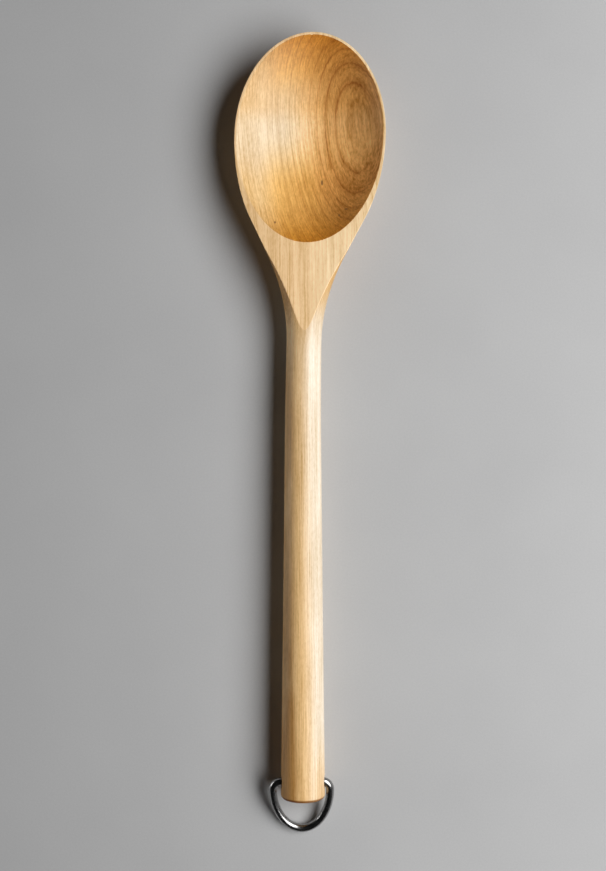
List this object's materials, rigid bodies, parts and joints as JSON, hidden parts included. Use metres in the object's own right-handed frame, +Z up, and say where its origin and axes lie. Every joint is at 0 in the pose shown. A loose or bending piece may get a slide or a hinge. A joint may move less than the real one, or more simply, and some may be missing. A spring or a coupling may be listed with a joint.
{
  "type": "wooden spoon",
  "caption": "Wooden cooking spoon with a shallow oval bowl, a flat neck ending in a V, a round tapered handle and a swinging steel D-ring to hang it by.",
  "frame": {"origin": "on the table, under the middle of the box round the spoon and its ring", "axes": "+Y along the spoon towards the tip of the bowl, +Z up out of the open bowl, +X to the right seen from above with the bowl away"},
  "size_m": [0.065, 0.3474, 0.0192],
  "materials": {
    "wood": "pale close-grained hardwood, sanded and oiled to a satin",
    "steel_wire": "polished round steel wire"
  },
  "bodies": {
    "spoon": {"wooden_spoon": "wood"},
    "ring": {"hanging_ring": "steel_wire"}
  },
  "joints": [
    {"name": "ring_swing", "type": "hinge", "parent": "spoon", "child": "ring", "pos_m": [-0.00298, -0.1491, 0.0096], "axis": [-1, 0, 0], "range_deg": [-130, 165]}
  ]
}
